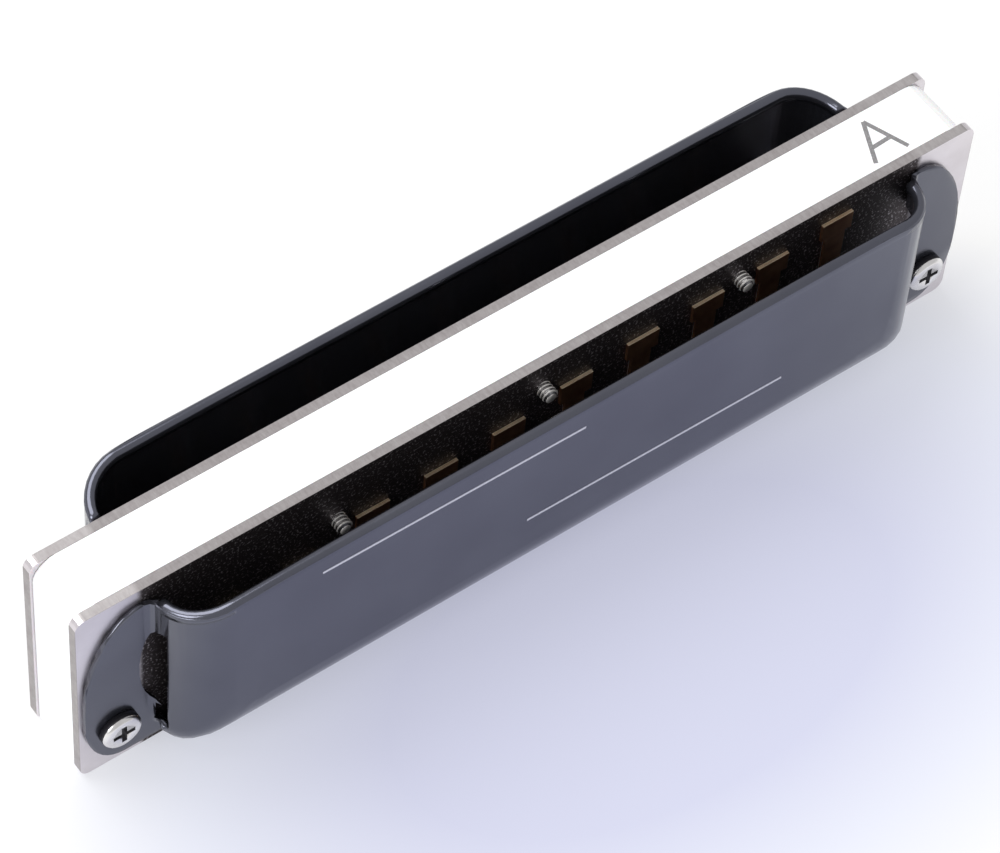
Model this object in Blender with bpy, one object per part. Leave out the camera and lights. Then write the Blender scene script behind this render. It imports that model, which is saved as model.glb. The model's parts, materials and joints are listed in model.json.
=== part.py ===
"""Ten-hole diatonic harmonica, standing on its mouthpiece edge with its open back upwards.

X runs along the instrument, with hole 1 at +X and hole 10 at -X. The draw side, with its reeds outside
the plate, faces -Y, and the blow side, with its reeds inside the comb, faces +Y. Z rises from the mouth
edge, at 0, to the back. Sizes are written in millimetres and scaled to metres where a mesh is made.
"""

from math import cos, pi, radians, sin, sqrt

import bmesh
import bpy
from mathutils import Matrix, Vector

MM = 0.001

# Overall sizes of the sandwich of comb and reed plates
PLATE_LENGTH = 100.2
PLATE_THICKNESS = 1.0
BODY_DEPTH = 24.9
COMB_THICKNESS = 6.25
COMB_END_INSET = 0.3
PLATE_CORNER_RADIUS = 1.1
COMB_CORNER_RADIUS = 2.5

# Gap that seated faces keep to each other
SEAT = 0.03

# Mouth holes and the chambers behind them
HOLE_COUNT = 10
HOLE_PITCH = 7.5
CHAMBER_WIDTH = 5.4
CHAMBER_END_RADIUS = 1.2
CHAMBER_END_MARGIN = 0.7
MOUTH_EDGE_RADIUS = 0.6

# Reeds: the heel is the thick pad that holds the reed, the tongue is the blade that swings
HEEL_WIDTH = 3.6
HEEL_LENGTH = 3.0
HEEL_THICKNESS = 0.6
HEEL_CHAMFER = 0.1
ROOT_GAP = 0.06
TONGUE_WIDTH_LOW = 2.4
TONGUE_WIDTH_HIGH = 2.05
TONGUE_ROOT_THICKNESS = 0.26
TONGUE_TIP_THICKNESS = 0.24
TONGUE_MIDDLE_DIP = 0.09
TONGUE_TIP_LIFT = 0.22
TONGUE_STATIONS = 8
SLOT_SIDE_CLEARANCE = 0.06
SLOT_TIP_CLEARANCE = 0.15

# Distance from the back edge to each draw reed's heel, holes 1 to 10
DRAW_HEEL_DEPTHS = (1.5, 2.5, 2.9, 3.2, 4.3, 5.9, 6.6, 6.9, 7.5, 8.0)
DRAW_TIP_HEIGHT = 4.1
BLOW_HEEL_HEIGHT = 1.8
BLOW_TONGUE_LONGEST = 15.5
BLOW_TONGUE_SHORTEST = 9.4

# Pressed covers
SHEET = 0.5
COVER_HEIGHT = 5.8
COVER_HALF_WIDTH = 42.4
COVER_FOOT_HEIGHT = 1.6
COVER_WALL_HEIGHT = 0.6
COVER_SIDE_ROUND = 5.2
COVER_FRONT_ROUND = 5.8
COVER_PLAN_RADIUS = 4.0
FOOT_BEND_RADIUS = 0.8
LEVELS = 9
BEND_LEVELS = 3
PLAN_CORNER_STEPS = 8

# Line of the open back edge, which drops from the middle to both ends
RIM_DROP_START = 34.0
RIM_DROP_END = 43.2
RIM_DROP = 1.8

# Edge of the open back, folded inwards
HEM_THICKNESS = 1.1
HEM_HEIGHT = 1.1
HEM_FOOT = 1.0
HEM_PROUD = 0.02
HEM_ARC_STEPS = 6
HEM_SIDE_STATIONS = 10
HEM_TOP_STATIONS = 8
SHEET_BELOW_HEM_TOP = 0.35

# Ears, the flat ends of a cover that lie on the reed plate
EAR_REACH = 49.7
EAR_TOP_CENTRE = (43.5, 10.5)
EAR_TOP_RADII = (6.2, 12.6)
EAR_FOOT_CENTRE = (45.7, 8.2)
EAR_FOOT_RADII = (4.0, 6.8)
EAR_ARC_STEPS = 10
EAR_INNER_EDGE = 39.5

# Side vents, cut through the bend between ear and end wall
VENT_REACH = 43.95
VENT_MIDDLE = 13.2
VENT_HALF_HEIGHT = 6.1
VENT_DEPTH = 2.2
VENT_SLIT_FOOT = 4.2
VENT_SLIT_REACH = 42.55
VENT_INNER_EDGE = 40.6
VENT_ARC_STEPS = 10

# Cover screws and nuts
COVER_SCREW_X = 46.3
COVER_SCREW_Z = 6.0
COVER_SCREW_SHANK = 1.9
COVER_SCREW_HOLE = 2.2
COVER_HEAD_DIAMETER = 4.1
COVER_HEAD_HEIGHT = 1.0
CROSS_LENGTH = 2.3
CROSS_WIDTH = 0.55
CROSS_DEPTH = 0.55
NUT_ACROSS_FLATS = 3.9
NUT_THICKNESS = 1.3
NUT_CHAMFER = 0.2
SHANK_BEYOND_NUT = 0.3

# Reed plate screws: (x, height) of each
PLATE_SCREWS = ((22.5, 21.6), (0.0, 21.5), (-22.5, 18.9))
PLATE_SCREW_SHANK = 1.5
PLATE_SCREW_HOLE = 1.66
PLATE_HEAD_DIAMETER = 3.0
PLATE_HEAD_HEIGHT = 0.7
PLATE_SCREW_TAIL = 1.4
TAIL_CHAMFER = 0.2
ROUND_SIDES = 24

OUTER_FACE = COMB_THICKNESS / 2 + SEAT + PLATE_THICKNESS
INNER_FACE = COMB_THICKNESS / 2 + SEAT
DRAW_SIDE = -1
BLOW_SIDE = 1


# Scene and materials
def clear_scene():
    for obj in list(bpy.data.objects):
        bpy.data.objects.remove(obj, do_unlink=True)


def material(name, colour, roughness, metallic):
    made = bpy.data.materials.new(name)
    made.use_nodes = True
    shader = made.node_tree.nodes["Principled BSDF"]
    shader.inputs["Base Color"].default_value = (*colour, 1.0)
    shader.inputs["Roughness"].default_value = roughness
    shader.inputs["Metallic"].default_value = metallic
    return made


def white_plastic():
    return material("comb_white_plastic", (0.90, 0.90, 0.91), 0.38, 0.0)


def plate_metal():
    return material("reed_plate_nickel_silver", (0.60, 0.57, 0.56), 0.28, 1.0)


def reed_bronze():
    return material("reed_bronze", (0.62, 0.40, 0.19), 0.30, 1.0)


def cover_coating():
    return material("cover_gunmetal", (0.15, 0.155, 0.18), 0.26, 1.0)


def screw_steel():
    return material("screw_steel", (0.66, 0.65, 0.65), 0.25, 1.0)


# Meshes
def make_object(name, points, faces, made_of, smooth_angle=35):
    """One object from points in millimetres, with its normals turned outwards."""
    mesh = bpy.data.meshes.new(name)
    mesh.from_pydata([Vector(p) * MM for p in points], [], faces)
    shell = bmesh.new()
    shell.from_mesh(mesh)
    bmesh.ops.recalc_face_normals(shell, faces=shell.faces)
    shell.to_mesh(mesh)
    shell.free()
    mesh.shade_smooth()
    mesh.set_sharp_from_angle(angle=radians(smooth_angle))
    obj = bpy.data.objects.new(name, mesh)
    bpy.context.scene.collection.objects.link(obj)
    if made_of is not None:
        mesh.materials.append(made_of)
    return obj


def helper(name, points, faces):
    """A cutter or an added form, which isn't drawn itself."""
    obj = make_object(name, points, faces, None)
    obj.hide_render = True
    obj.display_type = "WIRE"
    return obj


def combine(target, other, operation):
    step = target.modifiers.new(other.name, "BOOLEAN")
    step.operation = operation
    step.solver = "EXACT"
    step.object = other


def loft(rings):
    """Points and faces of a closed body through rings of equal length, capped at both ends."""
    count = len(rings[0])
    points = [p for ring in rings for p in ring]
    faces = [tuple(range(count))]
    for level in range(len(rings) - 1):
        for i in range(count):
            j = (i + 1) % count
            low, high = level * count, (level + 1) * count
            faces.append((low + i, low + j, high + j, high + i))
    faces.append(tuple(range(len(points) - count, len(points))))
    return points, faces


def slab(outline, y_low, y_high):
    """An outline in X and Z, carried along Y."""
    return loft([[(x, y, z) for x, z in outline] for y in (y_low, y_high)])


def bodies(parts):
    """Several lofted bodies as one list of points and one of faces."""
    points = []
    faces = []
    for some_points, some_faces in parts:
        start = len(points)
        points.extend(some_points)
        faces.extend(tuple(start + i for i in face) for face in some_faces)
    return points, faces


def rod(x, z, diameter, y_low, y_high, sides=ROUND_SIDES):
    """A round bar along Y."""
    turn = [2 * pi * k / sides for k in range(sides)]
    outline = [(x + diameter / 2 * cos(a), z + diameter / 2 * sin(a)) for a in turn]
    return slab(outline, y_low, y_high)


def turned(x, z, profile, sides=ROUND_SIDES):
    """A turned body about an axis along Y, from a profile of (radius, y)."""
    turn = [2 * pi * k / sides for k in range(sides)]
    rings = [[(x + r * cos(a), y, z + r * sin(a)) for a in turn] for r, y in profile]
    return loft(rings)


def block(x_low, x_high, y_low, y_high, z_low, z_high):
    outline = [(x_low, z_low), (x_high, z_low), (x_high, z_high), (x_low, z_high)]
    return slab(outline, y_low, y_high)


def arc(centre_x, centre_z, radius_x, radius_z, start, end, steps):
    """Points of an elliptical arc, angles in degrees from +X towards +Z."""
    angles = [radians(start + (end - start) * k / steps) for k in range(steps + 1)]
    return [(centre_x + radius_x * cos(a), centre_z + radius_z * sin(a)) for a in angles]


def rounded_rectangle(x_low, x_high, z_low, z_high, radius, steps=5):
    outline = arc(x_low + radius, z_low + radius, radius, radius, 180, 270, steps)
    outline += arc(x_high - radius, z_low + radius, radius, radius, 270, 360, steps)
    outline += arc(x_high - radius, z_high - radius, radius, radius, 0, 90, steps)
    outline += arc(x_low + radius, z_high - radius, radius, radius, 90, 180, steps)
    return outline


# Layout of holes and reeds
def hole_x(hole):
    """Centre of a mouth hole, numbered from 1 at +X."""
    return HOLE_PITCH * ((HOLE_COUNT + 1) / 2 - hole)


def tongue_width(hole):
    share = (hole - 1) / (HOLE_COUNT - 1)
    return TONGUE_WIDTH_LOW + (TONGUE_WIDTH_HIGH - TONGUE_WIDTH_LOW) * share


def draw_root(hole):
    return BODY_DEPTH - DRAW_HEEL_DEPTHS[hole - 1] - HEEL_LENGTH


def blow_root():
    return BLOW_HEEL_HEIGHT + HEEL_LENGTH


def blow_tip(hole):
    share = (hole - 1) / (HOLE_COUNT - 1)
    length = BLOW_TONGUE_LONGEST + (BLOW_TONGUE_SHORTEST - BLOW_TONGUE_LONGEST) * share
    return blow_root() + ROOT_GAP + length


def chamber_end(hole):
    return max(draw_root(hole), blow_tip(hole)) + CHAMBER_END_MARGIN


# Comb
def comb_outline():
    """Front edge with its ten open chambers, then the ends and the back, as one outline."""
    half = PLATE_LENGTH / 2 - COMB_END_INSET
    corner = COMB_CORNER_RADIUS
    lip = MOUTH_EDGE_RADIUS
    outline = arc(-half + lip, lip, lip, lip, 180, 270, 3)
    for hole in range(HOLE_COUNT, 0, -1):
        left = hole_x(hole) - CHAMBER_WIDTH / 2
        right = hole_x(hole) + CHAMBER_WIDTH / 2
        end = chamber_end(hole)
        inner = CHAMBER_END_RADIUS
        outline += arc(left - lip, lip, lip, lip, 270, 360, 3)
        outline += arc(left + inner, end - inner, inner, inner, 180, 90, 4)
        outline += arc(right - inner, end - inner, inner, inner, 90, 0, 4)
        outline += arc(right + lip, lip, lip, lip, 180, 270, 3)
    outline += arc(half - lip, lip, lip, lip, 270, 360, 3)
    outline += arc(half - corner, BODY_DEPTH - corner, corner, corner, 0, 90, 6)
    outline += arc(-half + corner, BODY_DEPTH - corner, corner, corner, 90, 180, 6)
    return outline


def screw_holes(extra, y_low, y_high):
    """Cutters for the cover screws and the reed plate screws, wider than them by extra."""
    cuts = []
    for x, z in PLATE_SCREWS:
        cuts.append(rod(x, z, PLATE_SCREW_HOLE + extra, y_low, y_high, 16))
    for x in (-COVER_SCREW_X, COVER_SCREW_X):
        cuts.append(rod(x, COVER_SCREW_Z, COVER_SCREW_HOLE + extra, y_low, y_high, 16))
    return cuts


def make_comb(plastic):
    half = COMB_THICKNESS / 2
    comb = make_object("comb", *slab(comb_outline(), -half, half), plastic)
    drill = helper("comb_drill", *bodies(screw_holes(0.2, -half - 1, half + 1)))
    combine(comb, drill, "DIFFERENCE")


# Reed plates
def slot_cutter(hole, z_low, z_high, y_low, y_high):
    half = tongue_width(hole) / 2 + SLOT_SIDE_CLEARANCE
    return block(hole_x(hole) - half, hole_x(hole) + half, y_low, y_high, z_low, z_high)


def make_plate(name, side, slot_ends, metal):
    half = PLATE_LENGTH / 2
    y_low, y_high = sorted((side * INNER_FACE, side * OUTER_FACE))
    outline = rounded_rectangle(-half, half, 0, BODY_DEPTH, PLATE_CORNER_RADIUS)
    plate = make_object(name, *slab(outline, y_low, y_high), metal)
    cuts = screw_holes(0, y_low - 1, y_high + 1)
    for hole in range(1, HOLE_COUNT + 1):
        z_low, z_high = slot_ends(hole)
        cuts.append(slot_cutter(hole, z_low, z_high, y_low - 1, y_high + 1))
    combine(plate, helper(name + "_cuts", *bodies(cuts)), "DIFFERENCE")


def draw_slot(hole):
    return DRAW_TIP_HEIGHT - SLOT_TIP_CLEARANCE, draw_root(hole) + ROOT_GAP


def blow_slot(hole):
    return blow_root() - ROOT_GAP, blow_tip(hole) + SLOT_TIP_CLEARANCE


# Reeds
def make_heel(name, x, face_y, out, z_low, z_high, bronze):
    """A pad on face_y of a plate, rising towards out (+1 or -1 in Y), with chamfered upper edges."""
    half = HEEL_WIDTH / 2
    cut = HEEL_CHAMFER
    base = face_y + out * SEAT
    rings = []
    for inset, rise in ((0, 0), (0, HEEL_THICKNESS - cut), (cut, HEEL_THICKNESS)):
        y = base + out * rise
        low, high = z_low + inset, z_high - inset
        left, right = x - half + inset, x + half - inset
        rings.append([(left, y, low), (right, y, low), (right, y, high), (left, y, high)])
    make_object(name, *loft(rings), bronze)


def tongue_profile(length):
    """Side view of a tongue as (distance from root, rise): thinner in the middle, lifted at the tip."""
    under = []
    over = []
    for k in range(TONGUE_STATIONS + 1):
        share = k / TONGUE_STATIONS
        thickness = TONGUE_ROOT_THICKNESS + (TONGUE_TIP_THICKNESS - TONGUE_ROOT_THICKNESS) * share
        thickness -= TONGUE_MIDDLE_DIP * sin(pi * share)
        lift = SEAT + TONGUE_TIP_LIFT * share * share
        under.append((length * share, lift))
        over.append((length * share, lift + thickness))
    return under + over[::-1]


def make_tongue(name, hole, face_y, out, root, direction, length, bronze):
    """A tongue whose object sits on its joint's axis, at the root and at half its thickness."""
    half = tongue_width(hole) / 2
    hinge = Vector((hole_x(hole), face_y + out * (SEAT + TONGUE_ROOT_THICKNESS / 2), root))
    profile = [(hinge.y * 0 + face_y + out * rise - hinge.y, direction * along)
               for along, rise in tongue_profile(length)]
    rings = [[(x, y, z) for y, z in profile] for x in (-half, half)]
    tongue = make_object(name, *loft(rings), bronze)
    tongue.location = hinge * MM


def make_reeds(bronze):
    for hole in range(1, HOLE_COUNT + 1):
        x = hole_x(hole)
        root = draw_root(hole)
        face = DRAW_SIDE * OUTER_FACE
        make_heel(f"draw_reed_heel_{hole}", x, face, DRAW_SIDE, root, root + HEEL_LENGTH, bronze)
        start = root - ROOT_GAP
        length = start - DRAW_TIP_HEIGHT
        make_tongue(f"draw_reed_tongue_{hole}", hole, face, DRAW_SIDE, start, -1, length, bronze)
        root = blow_root()
        face = BLOW_SIDE * INNER_FACE
        make_heel(f"blow_reed_heel_{hole}", x, face, -BLOW_SIDE, BLOW_HEEL_HEIGHT, root, bronze)
        start = root + ROOT_GAP
        length = blow_tip(hole) - start
        make_tongue(f"blow_reed_tongue_{hole}", hole, face, -BLOW_SIDE, start, 1, length, bronze)


# Covers, worked out as (x, rise above the plate, z) and then set on their side
def quarter_rise(rise, radius):
    """How far a quarter round has drawn in at a given rise."""
    return radius - sqrt(max(radius * radius - rise * rise, 0))


def pan_levels(sheet_in):
    """(rise, side inset, front inset) of each level of the pan's outside, or of its inside."""
    top = COVER_HEIGHT - sheet_in
    side = COVER_SIDE_ROUND - sheet_in
    front = COVER_FRONT_ROUND - sheet_in
    bend = FOOT_BEND_RADIUS + sheet_in
    start = SHEET - sheet_in
    levels = []
    if sheet_in > 0:
        levels.append((-1.0, -bend, 0))
    else:
        levels.append((0, -bend, 0))
    for k in range(BEND_LEVELS + 1):
        angle = pi / 2 * k / BEND_LEVELS
        levels.append((start + bend * (1 - cos(angle)), bend * (sin(angle) - 1), 0))
    wall = top - side
    for k in range(LEVELS + 1):
        angle = pi / 2 * k / LEVELS
        rise = wall + side * sin(angle)
        if rise > levels[-1][0] + 0.05:
            levels.append((rise, side * (1 - cos(angle)), front * (1 - cos(angle))))
    return levels


def pan_contour(half_width, foot, back, radius):
    """Plan view of one level, left end wall, front and right end wall, open or not at the back."""
    outline = [(-half_width, back)]
    outline += arc(-half_width + radius, foot + radius, radius, radius, 180, 270, PLAN_CORNER_STEPS)
    outline += arc(half_width - radius, foot + radius, radius, radius, 270, 360, PLAN_CORNER_STEPS)
    outline.append((half_width, back))
    return outline


def pan(sheet_in, back):
    rings = []
    for rise, side_inset, front_inset in pan_levels(sheet_in):
        half_width = COVER_HALF_WIDTH - sheet_in - side_inset
        foot = COVER_FOOT_HEIGHT + sheet_in + front_inset
        radius = COVER_PLAN_RADIUS - sheet_in
        outline = pan_contour(half_width, foot, back, radius)
        rings.append([(x, rise, z) for x, z in outline])
    return loft(rings)


def rim_height(x):
    share = (abs(x) - RIM_DROP_START) / (RIM_DROP_END - RIM_DROP_START)
    share = min(max(share, 0), 1)
    return BODY_DEPTH - RIM_DROP * share * share


def back_trim():
    """Everything behind the rim's line."""
    steps = 12
    reach = RIM_DROP_END + 1.5
    xs = [-reach]
    xs += [-RIM_DROP_END + (RIM_DROP_END - RIM_DROP_START) * k / steps for k in range(steps + 1)]
    xs += [RIM_DROP_START + (RIM_DROP_END - RIM_DROP_START) * k / steps for k in range(steps + 1)]
    xs.append(reach)
    outline = [(x, rim_height(x) - SHEET_BELOW_HEM_TOP * (abs(x) < RIM_DROP_END)) for x in xs]
    outline += [(reach, BODY_DEPTH + 8), (-reach, BODY_DEPTH + 8)]
    return slab(outline, -2, COVER_HEIGHT + 2)


def hem_path():
    """Points (x, rise) on the cover's outside with the direction inwards, from the left foot to the right."""
    side = COVER_SIDE_ROUND
    wall = COVER_HEIGHT - side
    start = (HEM_FOOT - wall) / side
    first = max(start, 0)
    half = []
    for k in range(HEM_SIDE_STATIONS + 1):
        angle = first + (pi / 2 - first) * k / HEM_SIDE_STATIONS
        x = -(COVER_HALF_WIDTH - side) - side * cos(angle)
        rise = wall + side * sin(angle)
        half.append((x, rise, cos(angle), -sin(angle)))
    flat = COVER_HALF_WIDTH - side
    middle = [(-flat + 2 * flat * k / HEM_TOP_STATIONS, COVER_HEIGHT, 0, -1)
              for k in range(1, HEM_TOP_STATIONS)]
    mirrored = [(-x, rise, -nx, nr) for x, rise, nx, nr in reversed(half)]
    return half + middle + mirrored


def hem_section():
    """(inwards, up) points of the folded edge: a round top over two straight sides."""
    radius = HEM_THICKNESS / 2
    section = [(-HEM_PROUD, -HEM_HEIGHT)]
    for k in range(HEM_ARC_STEPS + 1):
        angle = pi - pi * k / HEM_ARC_STEPS
        section.append((radius - HEM_PROUD + radius * cos(angle), radius * (sin(angle) - 1)))
    section.append((HEM_THICKNESS - HEM_PROUD, -HEM_HEIGHT))
    return section


def hem():
    rings = []
    for x, rise, in_x, in_rise in hem_path():
        top = rim_height(x)
        ring = [(x + in_x * u, rise + in_rise * u, top + v) for u, v in hem_section()]
        rings.append(ring)
    return loft(rings)


def ear(side):
    """Flat end of a cover, in plan an upper and a lower elliptical arc."""
    outline = arc(*EAR_FOOT_CENTRE, *EAR_FOOT_RADII, 270, 360, EAR_ARC_STEPS)
    outline += arc(*EAR_TOP_CENTRE, *EAR_TOP_RADII, 0, 90, EAR_ARC_STEPS)
    top = EAR_TOP_CENTRE[1] + EAR_TOP_RADII[1]
    foot = EAR_FOOT_CENTRE[1] - EAR_FOOT_RADII[1]
    outline += [(EAR_INNER_EDGE, top), (EAR_INNER_EDGE, foot)]
    return slab([(side * x, z) for x, z in outline], 0, SHEET)


def vent(side):
    """Half-moon cut through the foot of an end wall, running out into a slit towards the front."""
    reach = VENT_REACH - COVER_HALF_WIDTH + FOOT_BEND_RADIUS
    centre = COVER_HALF_WIDTH - FOOT_BEND_RADIUS
    outline = arc(centre, VENT_MIDDLE, reach, VENT_HALF_HEIGHT, 90, -72, VENT_ARC_STEPS)
    outline += [(VENT_SLIT_REACH, VENT_MIDDLE - VENT_HALF_HEIGHT)]
    outline += [(VENT_SLIT_REACH, VENT_SLIT_FOOT), (VENT_INNER_EDGE, VENT_SLIT_FOOT)]
    outline += [(VENT_INNER_EDGE, VENT_MIDDLE + VENT_HALF_HEIGHT)]
    return slab([(side * x, z) for x, z in outline], -1, VENT_DEPTH)


def on_side(shape, side):
    """Turns (x, rise, z) points into the place on the draw or the blow plate."""
    points, faces = shape
    foot = OUTER_FACE + SEAT
    return [(x, side * (foot + rise), z) for x, rise, z in points], faces


def make_cover(name, side, coating):
    cover = make_object(name, *on_side(pan(0, BODY_DEPTH + 3), side), coating)
    ears = bodies([ear(-1), ear(1)])
    combine(cover, helper(name + "_ears", *on_side(ears, side)), "UNION")
    hollow = pan(SHEET, BODY_DEPTH + 5)
    combine(cover, helper(name + "_hollow", *on_side(hollow, side)), "DIFFERENCE")
    combine(cover, helper(name + "_trim", *on_side(back_trim(), side)), "DIFFERENCE")
    combine(cover, helper(name + "_hem", *on_side(hem(), side)), "UNION")
    cuts = [vent(-1), vent(1)]
    for x in (-COVER_SCREW_X, COVER_SCREW_X):
        cuts.append(rod(x, COVER_SCREW_Z, COVER_SCREW_HOLE, -1, SHEET + 1, 16))
    combine(cover, helper(name + "_cuts", *on_side(bodies(cuts), side)), "DIFFERENCE")


# Fasteners
def make_cover_screw(name, x, steel):
    """Pan head on the draw side, shank through the covers, the plates and the comb to the nut."""
    seat = -(OUTER_FACE + SEAT + SHEET + SEAT)
    tail = OUTER_FACE + SEAT + SHEET + SEAT + NUT_THICKNESS + SHANK_BEYOND_NUT
    head = COVER_HEAD_DIAMETER / 2
    shank = COVER_SCREW_SHANK / 2
    top = seat - COVER_HEAD_HEIGHT
    profile = [(head - 0.5, top), (head - 0.2, top + 0.1), (head, top + 0.4), (head, seat),
               (shank, seat), (shank, tail - TAIL_CHAMFER), (shank - TAIL_CHAMFER, tail)]
    screw = make_object(name, *turned(x, COVER_SCREW_Z, profile), steel)
    arms = []
    for wide, high in ((CROSS_LENGTH, CROSS_WIDTH), (CROSS_WIDTH, CROSS_LENGTH)):
        arms.append(block(x - wide / 2, x + wide / 2, top - 1, top + CROSS_DEPTH,
                          COVER_SCREW_Z - high / 2, COVER_SCREW_Z + high / 2))
    for arm, name_end in zip(arms, ("_drive_wide", "_drive_high")):
        combine(screw, helper(name + name_end, *arm), "DIFFERENCE")


def make_nut(name, x, steel):
    """Hexagon nut on the blow side, chamfered on its outer face."""
    seat = OUTER_FACE + SEAT + SHEET + SEAT
    corner = NUT_ACROSS_FLATS / 2 / cos(pi / 6)
    turn = [pi / 6 + pi / 3 * k for k in range(6)]
    rings = []
    for radius, y in ((corner, seat), (corner, seat + NUT_THICKNESS - NUT_CHAMFER),
                      (corner - NUT_CHAMFER, seat + NUT_THICKNESS)):
        rings.append([(x + radius * cos(a), y, COVER_SCREW_Z + radius * sin(a)) for a in turn])
    nut = make_object(name, *loft(rings), steel)
    bore = rod(x, COVER_SCREW_Z, COVER_SCREW_SHANK + 0.12, seat - 1, seat + NUT_THICKNESS + 1)
    combine(nut, helper(name + "_bore", *bore), "DIFFERENCE")


def make_plate_screw(name, x, z, steel):
    """Pan head on the blow plate, with its end standing out of the draw plate."""
    seat = OUTER_FACE + SEAT
    tail = -(OUTER_FACE + PLATE_SCREW_TAIL)
    head = PLATE_HEAD_DIAMETER / 2
    shank = PLATE_SCREW_SHANK / 2
    top = seat + PLATE_HEAD_HEIGHT
    profile = [(shank - TAIL_CHAMFER, tail), (shank, tail + TAIL_CHAMFER), (shank, seat),
               (head, seat), (head, top - 0.3), (head - 0.25, top - 0.05), (head - 0.6, top)]
    make_object(name, *turned(x, z, profile, 20), steel)


def make_fasteners(steel):
    for name, x in (("left", -COVER_SCREW_X), ("right", COVER_SCREW_X)):
        make_cover_screw(f"cover_screw_{name}", x, steel)
        make_nut(f"cover_nut_{name}", x, steel)
    for number, (x, z) in enumerate(PLATE_SCREWS, 1):
        make_plate_screw(f"plate_screw_{number}", x, z, steel)


def main():
    clear_scene()
    make_comb(white_plastic())
    metal = plate_metal()
    make_plate("draw_reed_plate", DRAW_SIDE, draw_slot, metal)
    make_plate("blow_reed_plate", BLOW_SIDE, blow_slot, metal)
    make_reeds(reed_bronze())
    coating = cover_coating()
    make_cover("draw_cover", DRAW_SIDE, coating)
    make_cover("blow_cover", BLOW_SIDE, coating)
    make_fasteners(screw_steel())


main()
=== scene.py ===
# %% [markdown]
# # A ten-hole diatonic harmonica, dressed and lit
# The instrument stands on its mouthpiece edge with its open back upwards, as in the reference view. The solid
# model already holds the comb, the plates, the reeds, the covers and the screws at their real size. This file
# gives each of them its surface, adds what is too fine for the solids, and sets the camera and the light.
# Lengths on the instrument are in millimetres, and MM turns them into Blender's metres.

# %% Load the frame
import json

import bmesh
import bpy
import numpy as np
from mathutils import Matrix, Vector

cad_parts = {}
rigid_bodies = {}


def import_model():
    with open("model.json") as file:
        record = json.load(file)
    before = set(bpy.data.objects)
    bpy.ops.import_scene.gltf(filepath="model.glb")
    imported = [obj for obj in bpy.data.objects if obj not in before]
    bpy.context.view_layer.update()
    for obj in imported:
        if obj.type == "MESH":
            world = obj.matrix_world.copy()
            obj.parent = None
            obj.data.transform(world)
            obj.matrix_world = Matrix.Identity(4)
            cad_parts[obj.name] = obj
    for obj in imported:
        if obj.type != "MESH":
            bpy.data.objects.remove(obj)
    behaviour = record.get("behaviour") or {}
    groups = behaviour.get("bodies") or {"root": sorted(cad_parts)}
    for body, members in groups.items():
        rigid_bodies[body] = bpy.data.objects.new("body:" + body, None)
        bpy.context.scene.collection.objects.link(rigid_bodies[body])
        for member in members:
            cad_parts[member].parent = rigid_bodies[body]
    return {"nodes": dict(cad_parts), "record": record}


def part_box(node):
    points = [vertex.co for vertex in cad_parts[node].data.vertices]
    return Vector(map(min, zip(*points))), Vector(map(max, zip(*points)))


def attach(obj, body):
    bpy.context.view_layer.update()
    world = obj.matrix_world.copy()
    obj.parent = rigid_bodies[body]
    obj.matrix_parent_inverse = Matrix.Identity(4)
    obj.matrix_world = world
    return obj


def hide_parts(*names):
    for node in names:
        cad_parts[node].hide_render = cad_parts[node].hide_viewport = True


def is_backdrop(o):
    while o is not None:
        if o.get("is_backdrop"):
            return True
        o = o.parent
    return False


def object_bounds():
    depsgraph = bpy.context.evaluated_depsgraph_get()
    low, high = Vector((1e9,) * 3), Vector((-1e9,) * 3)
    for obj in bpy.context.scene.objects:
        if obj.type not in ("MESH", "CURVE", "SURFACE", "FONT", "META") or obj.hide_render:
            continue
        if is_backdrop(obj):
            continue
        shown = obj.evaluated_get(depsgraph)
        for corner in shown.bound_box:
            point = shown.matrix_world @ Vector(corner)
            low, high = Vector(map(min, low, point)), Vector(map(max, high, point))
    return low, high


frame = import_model()
CAD_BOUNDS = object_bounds()
MM = 0.001
NODES = frame["nodes"]
BODY = "harmonica"
print("nodes in the frame:", len(NODES))

# %% [markdown]
# ## The camera
# The reference view looks down on the back edge from the draw side, a little from the left, with a long lens.
# A camera can be set by eye, but then nothing lines up when the two pictures are compared. Its place and turn
# were solved from the straight edges of the two reed plates instead, and they are written here as they came
# out: the distance keeps the perspective of the edges, and the small roll tips the whole view.

# %% Camera
IMAGE_WIDTH = 1000
FOCAL_PIXELS = 4646.7
SENSOR_WIDTH = 36.0
CAMERA_PLACE = Vector((-161.88, -190.94, 361.09)) * MM
AZIMUTH, ELEVATION, ROLL = np.radians([-40.095, 54.481, 5.175])
CLIP_START, CLIP_END = 0.01, 20.0


def camera_axes(azimuth, elevation, roll):
    """The view's right, up and back axes: back points from the object to the camera, and roll turns the
    level right axis towards up by its angle."""
    back = np.array([np.sin(azimuth) * np.cos(elevation), -np.cos(azimuth) * np.cos(elevation),
                     np.sin(elevation)])
    level = np.array([np.cos(azimuth), np.sin(azimuth), 0.0])
    upright = np.cross(back, level)
    right = np.cos(roll) * level + np.sin(roll) * upright
    up = np.cos(roll) * upright - np.sin(roll) * level
    return right, up, back


def add_camera():
    """A camera whose lens is its focal length in pixels, times the sensor's width over the image's."""
    data = bpy.data.cameras.new("view_camera")
    data.sensor_width = SENSOR_WIDTH
    data.lens = FOCAL_PIXELS * SENSOR_WIDTH / IMAGE_WIDTH
    data.clip_start = CLIP_START
    data.clip_end = CLIP_END
    camera = bpy.data.objects.new("view_camera", data)
    bpy.context.scene.collection.objects.link(camera)
    turn = Matrix(np.column_stack(camera_axes(AZIMUTH, ELEVATION, ROLL)).tolist()).to_4x4()
    camera.matrix_world = Matrix.Translation(CAMERA_PLACE) @ turn
    bpy.context.scene.camera = camera
    return camera


camera = add_camera()
print("lens in mm:", round(camera.data.lens, 2))

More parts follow.
